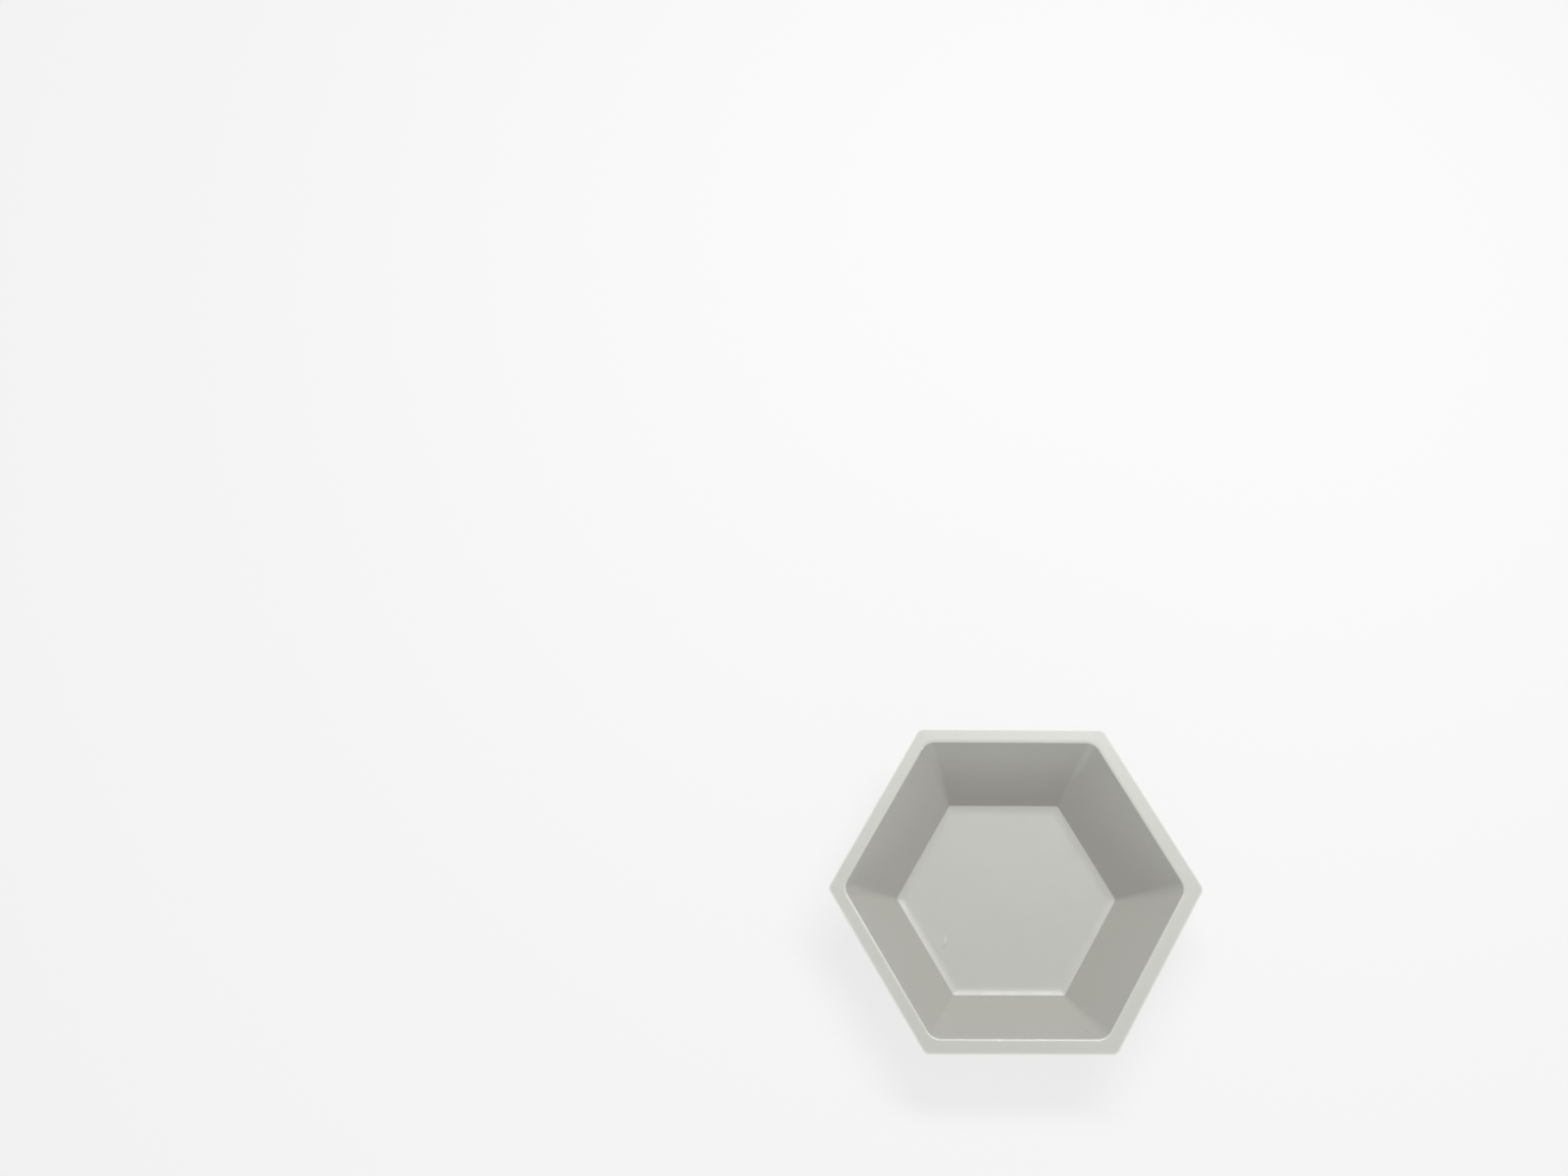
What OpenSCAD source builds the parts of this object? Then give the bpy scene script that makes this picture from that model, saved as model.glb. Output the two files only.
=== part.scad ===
// Hexagonal weighing boat: a shallow dish formed in one piece from thin plastic sheet.
// The base rests on the XY plane and the mouth opens upwards. The origin is below the middle
// of the flange's cut outline, which has a corner along +X. Lengths are in millimetres.

/* [Base] */
// Width of the base across its flats, inside
base_flats = 43.9; // [30:0.1:50]
// Radius of the wide arc on which the edge of the base lifts, inside
base_lift_r = 7; // [2:0.5:10]
// Slope that the edge of the base reaches on that arc, in degrees
base_lift = 17; // [1:1:20]
// Radius of the tight bend from there to the wall, inside
base_bend_r = 0.3; // [0.2:0.1:0.8]
// Radius of the corners between walls where they meet the base, inside
base_corner_r = 0.8; // [0.8:0.1:2]

/* [Mouth] */
// Width of the mouth across its flats, where wall and flange planes meet
mouth_flats = 67.4; // [60:0.1:75]
// Radius of the tight bend from the wall, on top
mouth_bend_r = 0.5; // [0.5:0.05:1.2]
// Radius of the wide arc on which that bend eases into the flange, on top
mouth_ease_r = 2; // [1.5:0.1:3]
// Slope that the sheet still has where it starts to ease, in degrees
mouth_ease = 14; // [2:1:20]
// Radius of the corners between walls at the mouth
mouth_corner_r = 3.6; // [1:0.1:5]
// Depth from the top of the flange to the inside of the base
depth = 17; // [10:0.1:30]

/* [Flange] */
// Mean width of the flange, from the mouth to its cut edge
flange_w = 3.15; // [2.5:0.05:6]
// How steeply the flange droops outwards, in degrees
flange_droop = 1.5; // [0:0.5:5]
// Radius of the flange's cut corners
flange_corner_r = 1.6; // [0.5:0.1:4]
// How far the dish sits off the middle of the cut outline, along X
dish_shift_x = -0.3; // [-0.6:0.05:0.6]
// How far the dish sits off the middle of the cut outline, along Y
dish_shift_y = 0.15; // [-0.6:0.05:0.6]

/* [Sheet] */
// Thickness of the sheet
sheet = 0.35; // [0.2:0.05:0.5]

/* [Fineness] */
// Straight steps round each corner
corner_steps = 10; // [4:1:16]
// Straight steps round each bend
bend_steps = 6; // [3:1:10]

/* [Hidden] */

// The hexagon has a corner every 60 degrees
sides = 6;
turn = 360 / sides;

// Half widths of base, mouth and flange across flats
base_half = base_flats / 2;
mouth_half = mouth_flats / 2;
flange_half = mouth_half + flange_w;

// Heights of the inside of the base and the top of the flange
floor_z = sheet;
top_z = sheet + depth;

// Slope of the walls from level
wall_slope = atan(depth / (mouth_half - base_half));

// A wide and a tight arc take the place of each corner between the wall and a level line. The
// wide one leaves the level line, and the wall is one radius from the tight one's centre.
// Returns how far back from the corner the wide arc starts, how far on from there the tight
// arc's centre is, and how far that centre is from the level line.
function two_arcs(wide_r, wide_slope, tight_r) =
    let (
        on = (wide_r - tight_r) * sin(wide_slope),
        off = wide_r - (wide_r - tight_r) * cos(wide_slope)
    )
    [on + (tight_r - off * cos(wall_slope)) / sin(wall_slope), on, off];

// Centres of the arcs, as half width and height
base_arcs = two_arcs(base_lift_r, base_lift, base_bend_r);
lift_centre = [base_half - base_arcs[0], floor_z + base_lift_r];
bend_centre = [lift_centre.x + base_arcs[1], floor_z + base_arcs[2]];
mouth_arcs = two_arcs(mouth_ease_r, mouth_ease, mouth_bend_r);
ease_centre = [mouth_half + mouth_arcs[0], top_z - mouth_ease_r];
mouth_centre = [ease_centre.x - mouth_arcs[1], top_z - mouth_arcs[2]];

// Middle of the dish, and of the flange's cut outline
dish_middle = [dish_shift_x, dish_shift_y];
outline_middle = [0, 0];

// Where the inside face is on an arc. A bend that bulges upwards has a radius below 0.
function on_arc(centre, radius, slope) = centre + radius * [sin(slope), -cos(slope)];

// A station is one place on the inside face's section: [half width and height, slope, corner
// radius, middle]. At the base the corner radius grows evenly with the half width.
function foot_station(centre, radius, slope) =
    let (place = on_arc(centre, radius, slope))
    [place, slope, base_corner_r * place.x / base_half, dish_middle];

// At the mouth it follows the half width, which keeps the bend's radius round the corners
function mouth_station(centre, radius, slope) =
    let (place = on_arc(centre, -radius, slope))
    [place, slope, mouth_corner_r + place.x - mouth_half, dish_middle];

// Slopes in even steps from one to another, without the first
function slopes(first, last) = [for (step = [1 : bend_steps]) first + (last - first) * step / bend_steps];

// The flange runs straight on from the end of its bend
flange_start = on_arc(ease_centre, -mouth_ease_r, -flange_droop);
flange_drop = (flange_half - flange_start.x) * tan(flange_droop);
flange_end = [flange_half, flange_start.y - flange_drop];

// The stations from the flat of the base to the flange's cut edge
stations = [
    for (slope = concat(0, slopes(0, base_lift))) foot_station(lift_centre, base_lift_r, slope),
    for (slope = slopes(base_lift, wall_slope)) foot_station(bend_centre, base_bend_r, slope),
    for (slope = concat(wall_slope, slopes(wall_slope, mouth_ease)))
        mouth_station(mouth_centre, mouth_bend_r, slope),
    for (slope = slopes(mouth_ease, -flange_droop)) mouth_station(ease_centre, mouth_ease_r, slope),
    [flange_end, -flange_droop, flange_corner_r, outline_middle]
];

// A ring is [half width across flats, height, corner radius, middle]

// The rings of the face that lies a depth below the inside face, measured through the sheet
function face_rings(below) = [
    for (station = stations)
    let (place = on_arc(station[0], below, station[1]), widened = place.x - station[0].x)
    [place.x, place.y, station[2] + widened, station[3]]
];

// One ring in points, anticlockwise from above: an arc for each corner, joined by the flats
function ring_points(ring) =
    let (centre_r = (ring[0] - ring[2]) / cos(turn / 2))
    [
        for (corner = [0 : sides - 1], step = [0 : corner_steps])
        let (
            corner_angle = corner * turn,
            arc_angle = corner_angle + (step / corner_steps - 0.5) * turn
        )
        [
            ring[3].x + centre_r * cos(corner_angle) + ring[2] * cos(arc_angle),
            ring[3].y + centre_r * sin(corner_angle) + ring[2] * sin(arc_angle),
            ring[1]
        ]
    ];

// A closed solid through rings, from a face at the first ring to a face at the last
module loft(rings) {
    count = sides * (corner_steps + 1);
    last = len(rings) - 1;
    first_face = [for (i = [0 : count - 1]) i];
    last_face = [for (i = [count - 1 : -1 : 0]) last * count + i];
    side_faces = [
        for (level = [0 : last - 1], i = [0 : count - 1])
        let (here = level * count, there = here + count, next = (i + 1) % count)
        [here + i, there + i, there + next, here + next]
    ];
    polyhedron(
        points = [for (ring = rings) each ring_points(ring)],
        faces = concat([first_face], side_faces, [last_face])
    );
}

// The sheet: up its under face to the cut edge, and back down its inside face to the base
module boat() {
    inside = face_rings(0);
    color([0.88, 0.88, 0.85])
    loft(concat(face_rings(sheet), [for (i = [len(inside) - 1 : -1 : 0]) inside[i]]));
}

boat();
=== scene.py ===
"""Weighing boat: its formed plastic sheet as one fine surface, and a plain studio round it."""

from math import pi, radians, tan
from typing import NamedTuple

import bpy
import numpy as np
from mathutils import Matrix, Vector


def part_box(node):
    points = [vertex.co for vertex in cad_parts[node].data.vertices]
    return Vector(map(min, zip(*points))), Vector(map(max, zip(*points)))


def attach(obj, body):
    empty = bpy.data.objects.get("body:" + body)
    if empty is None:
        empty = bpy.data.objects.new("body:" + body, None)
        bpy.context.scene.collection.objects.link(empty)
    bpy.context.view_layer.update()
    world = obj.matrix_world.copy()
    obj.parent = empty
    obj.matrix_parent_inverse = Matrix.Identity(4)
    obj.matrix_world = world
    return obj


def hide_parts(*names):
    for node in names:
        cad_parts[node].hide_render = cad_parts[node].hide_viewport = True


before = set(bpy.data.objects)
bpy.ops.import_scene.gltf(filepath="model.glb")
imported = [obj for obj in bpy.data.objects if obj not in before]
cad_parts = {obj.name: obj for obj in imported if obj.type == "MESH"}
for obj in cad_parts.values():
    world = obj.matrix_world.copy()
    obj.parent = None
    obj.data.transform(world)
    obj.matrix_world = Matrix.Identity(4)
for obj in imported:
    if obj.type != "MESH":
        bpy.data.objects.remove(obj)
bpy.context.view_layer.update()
LOW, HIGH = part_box("boat")

bl_info = {
    "name": "Weighing Boat",
    "version": (1, 0, 0),
    "blender": (4, 5, 0),
    "location": "3D View > Sidebar > Boat",
    "description": "Makes a hexagonal weighing boat of formed plastic sheet, and a studio to see it in",
    "category": "Mesh",
}

MM = 0.001

# The hexagon, and how finely its ring is cut: steps round each corner and along each flat
SIDES = 6
TURN = 2 * pi / SIDES
CORNER_STEPS = 16
FLAT_STEPS = 24

# How finely the sheet's section is cut, in steps along each of its stretches
BASE_STEPS = 16
WIDE_ARC_STEPS = 8
TIGHT_ARC_STEPS = 10
WALL_STEPS = 28
FLANGE_STEPS = 10
CUT_STEPS = 4

# The range that most smooth noise keeps to
NOISE_RANGE = (0.3, 0.7)

# The size of the bites in a mark's edge. A mark fades over the reach below, which is the distance
# from its middle, counted in its half sizes, plus the noise of the bites.
RAGGED_SIZE = 0.4 * MM
MARK_FADE = (1, 1.5)

# The white of the backdrop and of the light from all round
WHITE = (1, 1, 1, 1)

# A Mix node's sockets, by their places in its lists: those for colours and numbers share names
FACTOR = 0
NUMBER_A, NUMBER_B, NUMBER_RESULT = 2, 3, 0
COLOUR_A, COLOUR_B, COLOUR_RESULT = 6, 7, 2


# ---------------------------------------------------------------- settings


def length(name, description, default):
    """A size in metres that a user may change."""
    return bpy.props.FloatProperty(
        name=name, description=description, default=default, min=0, unit="LENGTH", precision=5
    )


def place(name, description, default):
    """A place or a shift in metres that a user may change. Its default is given in millimetres."""
    values = tuple(value * MM for value in default)
    return bpy.props.FloatVectorProperty(
        name=name, description=description, default=values, size=len(values), unit="LENGTH", precision=5
    )


def slope(name, description, default):
    """An angle that a user may change. Its default is given in degrees."""
    return bpy.props.FloatProperty(
        name=name, description=description, default=radians(default), subtype="ANGLE"
    )


def power(name, description, default):
    """A lamp's power in watts that a user may change."""
    return bpy.props.FloatProperty(name=name, description=description, default=default, min=0, unit="POWER")


def share(name, description, default):
    """A number from 0 to 1 that a user may change."""
    return bpy.props.FloatProperty(
        name=name, description=description, default=default, min=0, max=1, subtype="FACTOR"
    )


def colour(name, description, default):
    """A linear colour that a user may change."""
    return bpy.props.FloatVectorProperty(
        name=name, description=description, default=default, size=3, min=0, max=1, subtype="COLOR"
    )


class BoatShape(bpy.types.PropertyGroup):
    """Sizes of the formed sheet."""

    base_flats: length("Base", "Width of the base across its flats, inside", 43.9 * MM)
    base_bend: length("Base bend", "Radius of the tight bend from base to wall, inside", 0.3 * MM)
    base_lift_bend: length("Base lift bend", "Radius on which the base's edge lifts", 7 * MM)
    base_lift_turn: slope("Base lift", "How steep the base's edge gets", 17)
    base_corner: length("Base corner", "Radius of the corners between walls at the base", 0.8 * MM)
    mouth_flats: length("Mouth", "Width of the mouth across its flats", 67.4 * MM)
    mouth_bend: length("Mouth bend", "Radius of the tight bend from wall to flange, on top", 0.5 * MM)
    mouth_ease_bend: length("Mouth ease bend", "Radius on which that bend eases into the flange", 2 * MM)
    mouth_ease_turn: slope("Mouth ease", "How steep the sheet still is where it starts to ease", 14)
    mouth_corner: length("Mouth corner", "Radius of the corners between walls at the mouth", 3.6 * MM)
    flange_flats: length("Flange", "Width of the cut outline across its flats", HIGH.y - LOW.y)
    flange_corner: length("Flange corner", "Radius of the cut outline's corners", 1.6 * MM)
    cut_round: length("Cut edge", "Radius that the die leaves on the cut edge", 0.07 * MM)
    height: length("Height", "Height of the flange's top above the table", HIGH.z)
    sheet: length("Sheet", "Thickness of the sheet", 0.35 * MM)
    dish_shift: place("Dish shift", "How far the dish sits off the middle of the cut outline", (-0.3, 0.15))
    # These greys, darkest at the walls' foot, are partly thinner sheet and partly painted shade.
    base_drawn: share("Base drawn", "How much of the walls' stretch the base has", 0.47)
    mouth_drawn: share("Mouth drawn", "How much of that stretch a wall has at the mouth", 0.93)
    base_rise: length("Base rise", "How far the base's middle lifts as the sheet cools", 0.06 * MM)
    wall_bow: length("Wall bow", "How far a wall's middle is drawn in as the sheet cools", 0.08 * MM)
    flange_droop: slope("Flange droop", "How steeply the flange droops", 1.5)


class BoatPlastic(bpy.types.PropertyGroup):
    """Colours and finish of the plastic."""

    white: colour("White", "Colour of the sheet", (0.7, 0.7, 0.66))
    # The grey of thinner sheet; on the base and walls this grey is partly painted shade.
    thin_and_shaded_white: colour("Thin white", "Colour where the sheet was drawn thinner", (0.535, 0.535, 0.495))
    # The colour of scuffs, and of the painted highlights along the cut edge, on the mouth's bend and at the
    # nick.
    scuff_and_highlight_white: colour("Worked white", "Colour where the die or rubbing whitened it", (0.84, 0.84, 0.81))
    soil: colour("Soil", "Colour of the dark marks", (0.2, 0.19, 0.17))
    cloud: share("Clouds", "How much the sheet's white drifts towards its thin white", 0.1)
    cloud_size: length("Cloud size", "Size of the faint clouds in its white", 14 * MM)
    # A painted highlight: the band along the cut edge that is whitened.
    painted_edge_highlight_band: share("Cut band", "Share of the flange's width that the die whitened", 0.15)
    # A painted highlight: how much the mouth's bend is whitened.
    rubbed_white: share("Rubbed white", "How much rubbing whitens the mouth's bend", 0.25)
    roughness: share("Roughness", "Roughness of the satin face", 0.33)
    roughness_drift: share("Roughness drift", "How far the roughness drifts either way", 0.05)
    drift_size: length("Drift size", "Size of the patches over which it drifts", 3 * MM)
    rubbed_roughness: share("Rubbed roughness", "Roughness where the mouth's bend is rubbed smooth", 0.2)
    grain_size: length("Grain size", "Size of the satin face's grain", 0.4 * MM)
    grain_depth: length("Grain depth", "Depth of that grain", 0.004 * MM)
    refraction: bpy.props.FloatProperty(
        name="Refraction", description="Refractive index of the plastic", default=1.59, min=1
    )
    glow: share("Glow", "Share of the light that scatters inside the sheet", 0.5)
    glow_depth: length("Glow depth", "How far light travels inside the sheet", 0.3 * MM)
    # This also sets the strength of the painted highlight at the nick on the mouth's bend.
    wear_and_highlight: share("Wear", "How strongly the small marks of use show", 1.0)


class BoatStudio(bpy.types.PropertyGroup):
    """Floor, light and camera."""

    floor_colour: colour("Floor", "Colour of the floor", (0.9, 0.9, 0.9))
    floor_glow: share("Floor glow", "How much of the floor's white shows even in shadow", 0.72)
    floor_width: length("Floor width", "Width of the square floor", 4.0)
    world_light: share("World light", "Brightness of the light from all round", 0.42)
    key_power: power("Key lamp", "Power of the soft lamp above and behind", 0.99)
    key_at: place("Key place", "Where the key lamp hangs", (60, 226, 384))
    key_width: length("Key width", "Width of the key lamp", 0.34)
    key_depth: length("Key depth", "Depth of the key lamp, front to back", 0.08)
    fill_power: power("Fill lamp", "Power of the wide soft lamp low in front", 0.66)
    fill_at: place("Fill place", "Where the fill lamp stands", (0, -590, 105))
    fill_width: length("Fill width", "Width of the fill lamp", 0.85)
    fill_depth: length("Fill depth", "Height of the fill lamp", 0.12)
    camera_at: place("Camera place", "Where the camera stands", (-64.6, -82.3, 511.6))
    camera_turn: bpy.props.FloatVectorProperty(
        name="Camera turn",
        description="How far the camera is turned from looking straight down",
        default=(radians(17.19), radians(-1.4), 0.0),
        size=3,
        subtype="EULER",
    )
    lens: bpy.props.FloatProperty(
        name="Lens", description="Focal length on a 36 mm wide sensor", default=50.6, min=1, unit="CAMERA"
    )


# ---------------------------------------------------------------- the sheet's surface


class Section(NamedTuple):
    """Rows of the sheet's surface, in order along its section. Each row is a ring round the boat."""

    half: np.ndarray  # half width across the flats
    height: np.ndarray  # height above the table
    corner: np.ndarray  # radius of the ring's corners
    cut: np.ndarray  # 0 on the dish to 1 on the cut outline, whose middles differ
    out: np.ndarray  # how much the sheet's upper face points outwards there
    up: np.ndarray  # how much it points up
    base: np.ndarray  # share of the base's rise that the row takes
    wall: np.ndarray  # share of the walls' bow
    drawn: np.ndarray  # how far the sheet was stretched in forming, 0 to 1, which greys it, partly as thinner sheet and partly as painted shade
    rubbed: np.ndarray  # how much the sheet is polished by others stacked in it, which smooths it, and how much painted highlight whitens it, 0 to 1


def section(half, height, corner=0, cut=0, out=0, up=1, base=0, wall=0, drawn=0, rubbed=0):
    """A section whose single numbers hold for all its rows."""
    values = (half, height, corner, cut, out, up, base, wall, drawn, rubbed)
    return Section(*np.broadcast_arrays(*np.atleast_1d(*values)))


def joined(*sections):
    """The sections one after another."""
    return Section(*(np.concatenate(columns) for columns in zip(*sections)))


def steps(count):
    """Even steps from 0 to 1, without the 0."""
    return np.arange(1, count + 1) / count


def eased(count):
    """Steps from 0 to 1 that crowd towards both ends: half of one less the cosine."""
    return (1 - np.cos(pi * steps(count))) / 2


def arc(half, height, radius, angle, **columns):
    """The section of a bend: half width and height are its centre's, plus the radius times the
    sine and less the radius times the cosine of the angle turned from level. A bend that bulges
    upwards has a radius below 0. The face points along the cosine upwards and the sine inwards."""
    sine, cosine = np.sin(angle), np.cos(angle)
    return section(half + radius * sine, height - radius * cosine, out=-sine, up=cosine, **columns)


def two_arcs(wide, wide_turn, tight, turn):
    """A bend of a wide and a tight arc in place of the corner between a level line and a steep one.

    The wide arc leaves the level line and the tight arc, which goes on from the angle that it has
    reached, joins the steep line, because that line is one radius from the tight arc's centre.
    The two centres are the difference of the radii apart, along the radius where the arcs meet.
    Returns how far back from the corner the wide arc starts, how far on from there the tight
    arc's centre is, and how far that centre is from the level line.
    """
    on = (wide - tight) * np.sin(wide_turn)
    off = wide - (wide - tight) * np.cos(wide_turn)
    back = on + (tight - off * np.cos(turn)) / np.sin(turn)
    return back, on, off


def base_section(shape, wall_turn):
    """The section of the base's upper face and its bend, from its middle to the foot of the wall.

    A level line turns by a wide and then a tight arc to the wall's slope. The base's rise is the
    square of one less the square of the way along that line. The corner radius is in proportion
    to the half width.
    """
    base_half, floor, drawn = shape.base_flats / 2, shape.sheet, shape.base_drawn
    wide, wide_turn, tight = shape.base_lift_bend, shape.base_lift_turn, shape.base_bend
    back, on, off = two_arcs(wide, wide_turn, tight, wall_turn)
    centre = base_half - back

    along = np.append(0, eased(BASE_STEPS))
    level = section(centre * along, floor, base=(1 - along**2) ** 2, drawn=drawn)
    lift = arc(centre, floor + wide, wide, wide_turn * steps(WIDE_ARC_STEPS), drawn=drawn)
    along = steps(TIGHT_ARC_STEPS)
    angle = wide_turn + (wall_turn - wide_turn) * along
    bend = arc(centre + on, floor + off, tight, angle, drawn=drawn + (1 - drawn) * along)
    rows = joined(level, lift, bend)
    return rows._replace(corner=shape.base_corner * rows.half / base_half)


def mouth_section(shape, wall_turn):
    """The section of the mouth's bend on the upper face, from the top of the wall to the flange.

    The wall turns by a tight and then a wide arc to the flange's droop, a little past level. The
    corner radius is the half width less a fixed length, so that the bend is even round a corner.
    """
    mouth_half, top = shape.mouth_flats / 2, shape.height
    wide, wide_turn, tight = shape.mouth_ease_bend, shape.mouth_ease_turn, shape.mouth_bend
    back, on, off = two_arcs(wide, wide_turn, tight, wall_turn)
    centre = mouth_half + back

    along = np.append(0, steps(TIGHT_ARC_STEPS))
    angle = wall_turn + (wide_turn - wall_turn) * along
    drawn = shape.mouth_drawn * (1 - along)
    # The bend's mask for its polish and for its painted highlight.
    bend = arc(centre - on, top - off, -tight, angle, drawn=drawn, rubbed=along)
    along = steps(WIDE_ARC_STEPS)
    angle = wide_turn - (wide_turn + shape.flange_droop) * along
    ease = arc(centre, top - wide, -wide, angle, rubbed=1 - along)
    rows = joined(bend, ease)
    return rows._replace(corner=shape.mouth_corner + rows.half - mouth_half)


def wall_section(shape, base, mouth):
    """The section of the wall's upper face, between the last row of the base and the mouth's first.

    The half width, height and corner radius change evenly from the one to the other. The wall's
    bow is the square of the sine of half a turn times the way up it.
    """
    along = eased(WALL_STEPS)[:-1]
    low = np.stack([base.half, base.height, base.corner])[:, -1:]
    high = np.stack([mouth.half, mouth.height, mouth.corner])[:, :1]
    half, height, corner = low + (high - low) * along
    # The walls grey most at their foot, partly as painted shade.
    drawn = 1 - (1 - shape.mouth_drawn) * along
    bow = np.sin(pi * along) ** 2
    return section(half, height, corner, out=base.out[-1], up=base.up[-1], wall=bow, drawn=drawn)


def flange_section(shape, mouth):
    """The section of the flange's upper face, from the mouth's last row to the cut edge.

    The half width and corner radius change evenly to those of the cut outline, less the radius of
    its edge. The height falls by the half width gained times the tangent of the droop.
    """
    along = eased(FLANGE_STEPS)
    half = mouth.half[-1] + (shape.flange_flats / 2 - shape.cut_round - mouth.half[-1]) * along
    corner = mouth.corner[-1] + (shape.flange_corner - shape.cut_round - mouth.corner[-1]) * along
    height = mouth.height[-1] - (half - mouth.half[-1]) * tan(shape.flange_droop)
    return section(half, height, corner, cut=along, out=mouth.out[-1], up=mouth.up[-1])


def upper_face(shape):
    """The section of the sheet's upper face, from the middle of the base to the cut edge.

    The wall's slope is that of the line from where base and wall would meet without their bend to
    where wall and flange would.
    """
    rise, run = shape.height - shape.sheet, (shape.mouth_flats - shape.base_flats) / 2
    wall_turn = np.arctan2(rise, run)
    base, mouth = base_section(shape, wall_turn), mouth_section(shape, wall_turn)
    return joined(base, wall_section(shape, base, mouth), mouth, flange_section(shape, mouth))


def cut_edge(shape, top):
    """The section of the flange's cut edge: two small arcs of a quarter turn with a flat between.

    The upper arc is inset from the side by its radius times one less the sine of the angle
    turned, and from the face by its radius times one less the cosine. The lower arc takes these
    two the other way round.
    """
    angle = pi / 2 * np.append(0, steps(CUT_STEPS))
    from_side = shape.cut_round * (1 - np.sin(angle))
    from_face = shape.cut_round * (1 - np.cos(angle))
    inset = np.concatenate([from_side[1:], from_face[:-1]])
    height = np.concatenate([top - from_face[1:], top - shape.sheet + from_side[:-1]])
    return section(shape.flange_flats / 2 - inset, height, shape.flange_corner - inset, cut=1)


def under_face(upper, sheet):
    """The section of the under face: the upper face, moved the sheet's thickness against the way
    that it points and taken in reverse order. Its corner radius changes as its half width does."""
    half = upper.half - sheet * upper.out
    moved = upper._replace(
        half=half, height=upper.height - sheet * upper.up, corner=upper.corner + half - upper.half
    )
    return Section(*(column[::-1] for column in moved))


def around():
    """Points and outward directions round a hexagon with a half width of 1, and a belly.

    Round a corner the point stays and the direction turns; along a flat the direction stays and
    the point moves on. The belly rises as a parabola from 0 at a flat's ends to 1 at its middle.
    """
    turned = np.append(steps(CORNER_STEPS) - 1 / CORNER_STEPS, np.ones(FLAT_STEPS))
    moved = np.append(np.zeros(CORNER_STEPS), steps(FLAT_STEPS) - 1 / FLAT_STEPS)
    corner_angle = TURN * np.arange(SIDES)[:, None]
    direction_angle = corner_angle + (turned - 0.5) * TURN
    here = np.stack([np.cos(corner_angle), np.sin(corner_angle)], -1)
    there = np.roll(here, -1, 0)
    point = (here + (there - here) * moved[:, None]) / np.cos(TURN / 2)
    direction = np.stack([np.cos(direction_angle), np.sin(direction_angle)], -1)
    belly = np.tile(4 * moved * (1 - moved), SIDES)
    return point.reshape(-1, 2), direction.reshape(-1, 2), belly


def sheet_points(shape, rows):
    """The surface's points, rows by places round the ring.

    A ring's point is the hexagon's point scaled to the half width less the corner radius, plus
    the outward direction scaled to the corner radius, plus the ring's middle. Cooling then moves
    it along the way that the upper face points.
    """
    point, direction, belly = around()
    columns = Section(*(column[:, None] for column in rows))
    middle = np.array(shape.dish_shift) * (1 - columns.cut[..., None])
    spread = (columns.half - columns.corner)[..., None] * point
    flat = middle + spread + columns.corner[..., None] * direction
    moved = columns.base * shape.base_rise + columns.wall * shape.wall_bow * belly
    flat = flat + (moved * columns.out)[..., None] * direction
    height = columns.height + moved * columns.up
    return np.concatenate([flat, height[..., None]], -1)


def closed_mesh(name, grid, **attributes):
    """A closed mesh from a grid whose first and last rows are each a single point.

    Rows run outwards over the top and back below, and a row's places run anticlockwise, so that
    each face's corners in the order here, out, out and on, on give it a face that points out.
    """
    rows, places = grid.shape[:2]
    points = np.concatenate([grid[0, :1], grid[1:-1].reshape(-1, 3), grid[-1, :1]])
    index = np.arange((rows - 2) * places).reshape(rows - 2, places) + 1
    on = np.roll(index, -1, 1)
    last = len(points) - 1
    quads = np.stack([index[:-1], index[1:], on[1:], on[:-1]], -1).reshape(-1, 4)
    first_fan = np.stack([np.zeros(places, int), index[0], on[0]], -1)
    last_fan = np.stack([np.full(places, last), on[-1], index[-1]], -1)

    mesh = bpy.data.meshes.new(name)
    mesh.from_pydata(points, [], [*quads.tolist(), *first_fan.tolist(), *last_fan.tolist()])
    mesh.shade_smooth()
    for attribute, values in attributes.items():
        full = np.repeat(values[1:-1], places)
        layer = mesh.attributes.new(attribute, "FLOAT", "POINT")
        layer.data.foreach_set("value", np.concatenate([values[:1], full, values[-1:]]))
    return mesh


# ---------------------------------------------------------------- the plastic


class Mark(NamedTuple):
    """A small oval mark in the sheet's colour. Most are marks of use; the notes at the others say what they
    show.
    """

    middle: tuple  # in millimetres
    size: tuple  # half its width, length and depth, in millimetres
    turn: float  # about the upright, in degrees
    tone: str  # the colour setting that it leans towards
    share: float  # how far it leans


MARKS = (
    Mark(middle=(-14.7, -9.0, 0.35), size=(0.3, 1.25, 0.25), turn=-8, tone="scuff_and_highlight_white", share=0.5),
    Mark(middle=(-15.0, -10.7, 0.35), size=(0.35, 1.1, 0.25), turn=-50, tone="soil", share=0.14),
    # A light dot with a darker dot just below it, on the flange near the top left.
    Mark(middle=(-20.7, 32.3, 17.2), size=(0.4, 0.4, 0.5), turn=0, tone="scuff_and_highlight_white", share=0.8),
    Mark(middle=(-20.6, 31.7, 16.9), size=(0.35, 0.35, 0.4), turn=0, tone="soil", share=0.2),
    Mark(middle=(14.9, -31.2, 14.5), size=(0.3, 0.7, 0.9), turn=20, tone="soil", share=0.2),
    Mark(middle=(15.5, -31.7, 15.2), size=(0.3, 0.5, 0.7), turn=-40, tone="soil", share=0.14),
    # A painted highlight: a white speck where the highlight on the mouth's bend bulges at a small nick.
    Mark(middle=(-4.8, -33.8, 17.3), size=(0.6, 0.3, 0.3), turn=0, tone="scuff_and_highlight_white", share=0.9),
)


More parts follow.
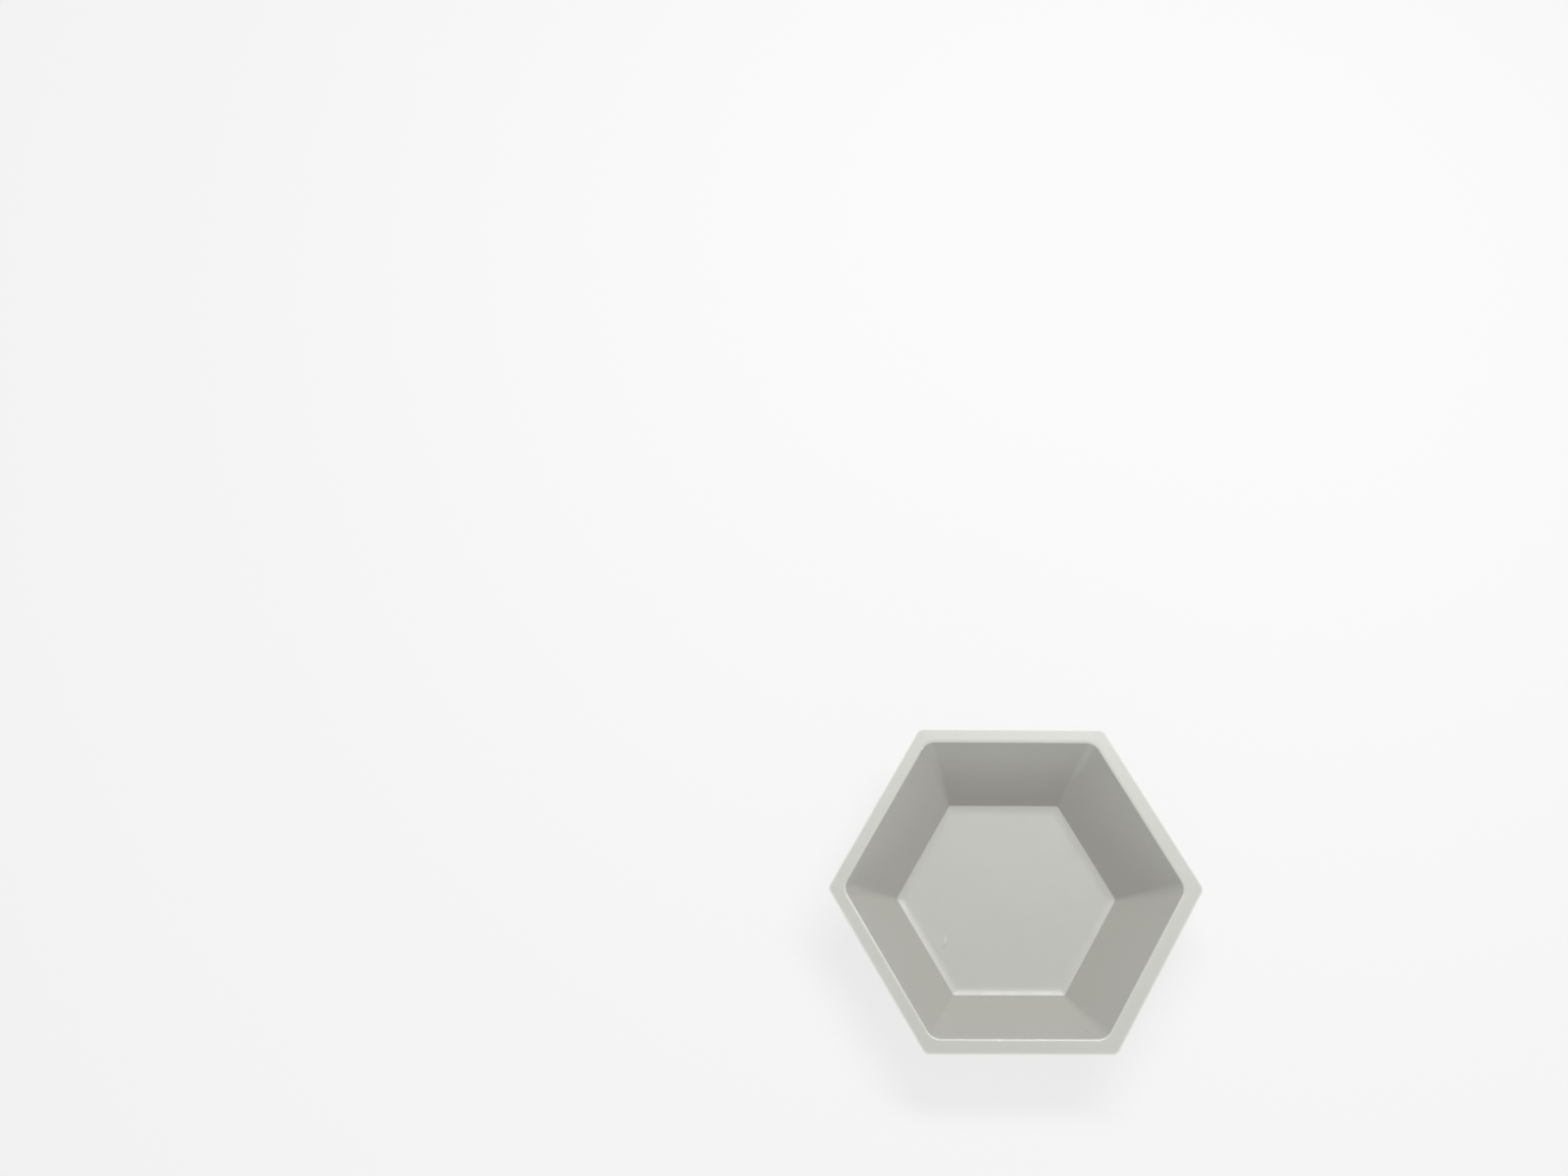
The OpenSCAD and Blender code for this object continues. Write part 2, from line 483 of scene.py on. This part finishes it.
class Tree:
    """Adds nodes to a material or world, each from its type and its inputs."""

    def __init__(self, owner):
        owner.use_nodes = True
        self.nodes = owner.node_tree.nodes
        self.links = owner.node_tree.links
        self.nodes.clear()

    def add(self, kind, inputs=None, **settings):
        """A node. An input is a value, or another node's output that is linked to it."""
        node = self.nodes.new(kind)
        for setting, value in settings.items():
            setattr(node, setting, value)
        for name, value in (inputs or {}).items():
            if isinstance(value, bpy.types.NodeSocket):
                self.links.new(value, node.inputs[name])
            else:
                node.inputs[name].default_value = value
        return node


def mixed_colour(tree, factor, first, second):
    """A colour between two others."""
    inputs = {FACTOR: factor, COLOUR_A: first, COLOUR_B: second}
    return tree.add("ShaderNodeMix", inputs, data_type="RGBA").outputs[COLOUR_RESULT]


def mixed_number(tree, factor, first, second):
    """A number between two others."""
    inputs = {FACTOR: factor, NUMBER_A: first, NUMBER_B: second}
    return tree.add("ShaderNodeMix", inputs, data_type="FLOAT").outputs[NUMBER_RESULT]


def ranged(tree, value, from_low, from_high, to_low, to_high):
    """A value mapped evenly from one range to another, and held inside it."""
    inputs = {"From Min": from_low, "From Max": from_high, "To Min": to_low, "To Max": to_high}
    return tree.add("ShaderNodeMapRange", {"Value": value, **inputs}).outputs[0]


def noise(tree, at, size, detail=2):
    """Smooth noise from 0 to 1 over a place in metres, with lumps of about the size given."""
    inputs = {"Vector": at, "Scale": 1 / size, "Detail": detail}
    return tree.add("ShaderNodeTexNoise", inputs).outputs[0]


def drifting(tree, at, size, low, high, detail=2):
    """A number that drifts smoothly between two others: noise, stretched to fill their range."""
    return ranged(tree, noise(tree, at, size, detail), *NOISE_RANGE, low, high)


def opaque(rgb):
    """A colour with no transparency."""
    return (*rgb, 1)


def marked(tree, at, ragged, mark, shown):
    """How much a mark shows: the share given at its middle and 0 outside it.

    The place is counted from the mark's middle in half sizes of the mark. The noise given is
    added to its distance from the middle, which makes the oval's edge ragged.
    """
    inputs = {
        "Vector": at,
        "Location": [value * MM for value in mark.middle],
        "Rotation": (0, 0, radians(mark.turn)),
        "Scale": [value * MM for value in mark.size],
    }
    local = tree.add("ShaderNodeMapping", inputs, vector_type="TEXTURE").outputs[0]
    reach = tree.add("ShaderNodeVectorMath", {0: local}, operation="LENGTH").outputs["Value"]
    reach = tree.add("ShaderNodeMath", {0: reach, 1: ragged}, operation="ADD").outputs[0]
    return ranged(tree, reach, *MARK_FADE, shown, 0)


def sheet_plastic(plastic):
    """Satin white plastic that light sinks into: greyer where forming thinned it, with painted shade in
    that grey on the base and walls, and painted highlights along the cut edge, on the mouth's bend and at
    one nick.
    """
    material = bpy.data.materials.new("satin_plastic")
    tree = Tree(material)
    at = tree.add("ShaderNodeTexCoord").outputs["Object"]
    drawn = tree.add("ShaderNodeAttribute", attribute_name="drawn").outputs["Fac"]
    cut = tree.add("ShaderNodeAttribute", attribute_name="cut").outputs["Fac"]
    rubbed = tree.add("ShaderNodeAttribute", attribute_name="rubbed").outputs["Fac"]

    thin_and_shaded_white, scuff_and_highlight_white = opaque(plastic.thin_and_shaded_white), opaque(plastic.scuff_and_highlight_white)
    # Greyer where the sheet is thinner, partly painted shade on the base and walls.
    body = mixed_colour(tree, drawn, opaque(plastic.white), thin_and_shaded_white)
    cloud = drifting(tree, at, plastic.cloud_size, 0, plastic.cloud)
    body = mixed_colour(tree, cloud, body, thin_and_shaded_white)
    # Painted highlight along the cut edge.
    painted_highlight = ranged(tree, cut, 1 - plastic.painted_edge_highlight_band, 1, 0, 1)
    body = mixed_colour(tree, painted_highlight, body, scuff_and_highlight_white)
    # Painted highlight on the mouth's bend.
    painted_highlight = ranged(tree, rubbed, 0, 1, 0, plastic.rubbed_white)
    body = mixed_colour(tree, painted_highlight, body, scuff_and_highlight_white)
    ragged = noise(tree, at, RAGGED_SIZE)
    # Marks of use, and one painted highlight at a nick.
    for mark in MARKS:
        shown = marked(tree, at, ragged, mark, mark.share * plastic.wear_and_highlight)
        body = mixed_colour(tree, shown, body, opaque(getattr(plastic, mark.tone)))

    smoothest, roughest = (plastic.roughness + side * plastic.roughness_drift for side in (-1, 1))
    rough = drifting(tree, at, plastic.drift_size, smoothest, roughest, detail=4)
    rough = mixed_number(tree, rubbed, rough, plastic.rubbed_roughness)
    grain = noise(tree, at, plastic.grain_size, detail=3)
    grain = tree.add("ShaderNodeBump", {"Height": grain, "Distance": plastic.grain_depth})
    shader = tree.add(
        "ShaderNodeBsdfPrincipled",
        {
            "Base Color": body,
            "Roughness": rough,
            "IOR": plastic.refraction,
            "Normal": grain.outputs[0],
            "Subsurface Weight": plastic.glow,
            "Subsurface Radius": (1, 1, 1),
            "Subsurface Scale": plastic.glow_depth,
        },
    )
    tree.add("ShaderNodeOutputMaterial", {"Surface": shader.outputs[0]})
    return material


# ---------------------------------------------------------------- the studio


def backdrop_ray(tree):
    """1 for a ray that the camera sends, straight or by way of a mirror or glass, and 0 for light."""
    path = tree.add("ShaderNodeLightPath").outputs
    mirrored = {0: path["Is Glossy Ray"], 1: path["Is Transmission Ray"]}
    mirrored = tree.add("ShaderNodeMath", mirrored, operation="MAXIMUM").outputs[0]
    either = {0: path["Is Camera Ray"], 1: mirrored}
    return tree.add("ShaderNodeMath", either, operation="MAXIMUM").outputs[0]


def studio_floor(studio):
    """A pale floor that shows almost white, with the object's shadow kept."""
    half = studio.floor_width / 2
    corners = [(-half, -half, 0), (half, -half, 0), (half, half, 0), (-half, half, 0)]
    mesh = bpy.data.meshes.new("floor")
    mesh.from_pydata(corners, [], [(0, 1, 2, 3)])

    material = bpy.data.materials.new("floor")
    tree = Tree(material)
    matt = tree.add("ShaderNodeBsdfDiffuse", {"Color": opaque(studio.floor_colour)})
    white = tree.add("ShaderNodeEmission", {"Color": WHITE, "Strength": 1})
    glow = ranged(tree, backdrop_ray(tree), 0, 1, 0, studio.floor_glow)
    surface = tree.add("ShaderNodeMixShader", {0: glow, 1: matt.outputs[0], 2: white.outputs[0]})
    tree.add("ShaderNodeOutputMaterial", {"Surface": surface.outputs[0]})
    mesh.materials.append(material)
    floor = bpy.data.objects.new("floor", mesh)
    bpy.context.collection.objects.link(floor)


def studio_world(studio):
    """Even light from all round, with a white backdrop behind it."""
    world = bpy.data.worlds.new("studio")
    tree = Tree(world)
    strength = ranged(tree, backdrop_ray(tree), 0, 1, studio.world_light, 1)
    light = tree.add("ShaderNodeBackground", {"Color": WHITE, "Strength": strength})
    tree.add("ShaderNodeOutputWorld", {"Surface": light.outputs[0]})
    bpy.context.scene.world = world


def soft_lamp(name, at, width, depth, watts):
    """A soft lamp that faces the origin, and that the camera doesn't see."""
    lamp = bpy.data.lights.new(name, "AREA")
    lamp.shape = "RECTANGLE"
    lamp.size = width
    lamp.size_y = depth
    lamp.energy = watts
    holder = bpy.data.objects.new(name, lamp)
    holder.location = at
    holder.rotation_euler = Vector(at).to_track_quat("Z", "Y").to_euler()
    holder.visible_camera = False
    bpy.context.collection.objects.link(holder)


# ---------------------------------------------------------------- operators


class BOAT_OT_form_sheet(bpy.types.Operator):
    """Form the weighing boat's sheet as one closed surface"""

    bl_idname = "boat.form_sheet"
    bl_label = "Form the Sheet"
    bl_options = {"REGISTER", "UNDO"}

    def execute(self, context):
        shape = context.scene.boat_shape
        upper = upper_face(shape)
        rows = joined(upper, cut_edge(shape, upper.height[-1]), under_face(upper, shape.sheet))
        # These carry the grey of thinning with painted shade, the place of the painted edge highlight, and
        # the bend's polish with its painted highlight.
        finish = {"cut": rows.cut, "drawn": rows.drawn, "rubbed": rows.rubbed}
        mesh = closed_mesh("formed_sheet", sheet_points(shape, rows), **finish)
        mesh.materials.append(sheet_plastic(context.scene.boat_plastic))
        piece = bpy.data.objects.new("formed_sheet", mesh)
        context.collection.objects.link(piece)
        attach(piece, "root")
        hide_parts("boat")
        return {"FINISHED"}


class BOAT_OT_set_studio(bpy.types.Operator):
    """Set out the floor, the light and the camera"""

    bl_idname = "boat.set_studio"
    bl_label = "Set the Studio"
    bl_options = {"REGISTER", "UNDO"}

    def execute(self, context):
        studio = context.scene.boat_studio
        studio_floor(studio)
        studio_world(studio)
        soft_lamp("key_lamp", studio.key_at, studio.key_width, studio.key_depth, studio.key_power)
        soft_lamp("fill_lamp", studio.fill_at, studio.fill_width, studio.fill_depth, studio.fill_power)
        camera = bpy.data.objects.new("camera", bpy.data.cameras.new("camera"))
        camera.data.lens = studio.lens
        camera.location = studio.camera_at
        camera.rotation_euler = studio.camera_turn
        context.collection.objects.link(camera)
        context.scene.camera = camera
        context.scene.view_settings.view_transform = "Standard"
        return {"FINISHED"}


class BOAT_PT_maker(bpy.types.Panel):
    """Settings and steps of the weighing boat"""

    bl_label = "Weighing Boat"
    bl_space_type = "VIEW_3D"
    bl_region_type = "UI"
    bl_category = "Boat"

    def draw(self, context):
        scene = context.scene
        for operator, settings in (
            (BOAT_OT_form_sheet, (scene.boat_shape, scene.boat_plastic)),
            (BOAT_OT_set_studio, (scene.boat_studio,)),
        ):
            box = self.layout.box()
            box.operator(operator.bl_idname)
            for group in settings:
                for name in group.bl_rna.properties.keys():
                    if name not in ("rna_type", "name"):
                        box.prop(group, name)


# ---------------------------------------------------------------- registration

CLASSES = (BoatShape, BoatPlastic, BoatStudio, BOAT_OT_form_sheet, BOAT_OT_set_studio, BOAT_PT_maker)
SETTINGS = {"boat_shape": BoatShape, "boat_plastic": BoatPlastic, "boat_studio": BoatStudio}


def register():
    """Adds the classes, and a scene's settings of the boat and its studio."""
    for cls in CLASSES:
        bpy.utils.register_class(cls)
    for name, group in SETTINGS.items():
        setattr(bpy.types.Scene, name, bpy.props.PointerProperty(type=group))


def unregister():
    """Takes the settings and the classes out again."""
    for name in SETTINGS:
        delattr(bpy.types.Scene, name)
    for cls in reversed(CLASSES):
        bpy.utils.unregister_class(cls)


def main():
    """Makes the boat and its studio."""
    register()
    bpy.ops.boat.form_sheet()
    bpy.ops.boat.set_studio()


if __name__ == "__main__":
    main()
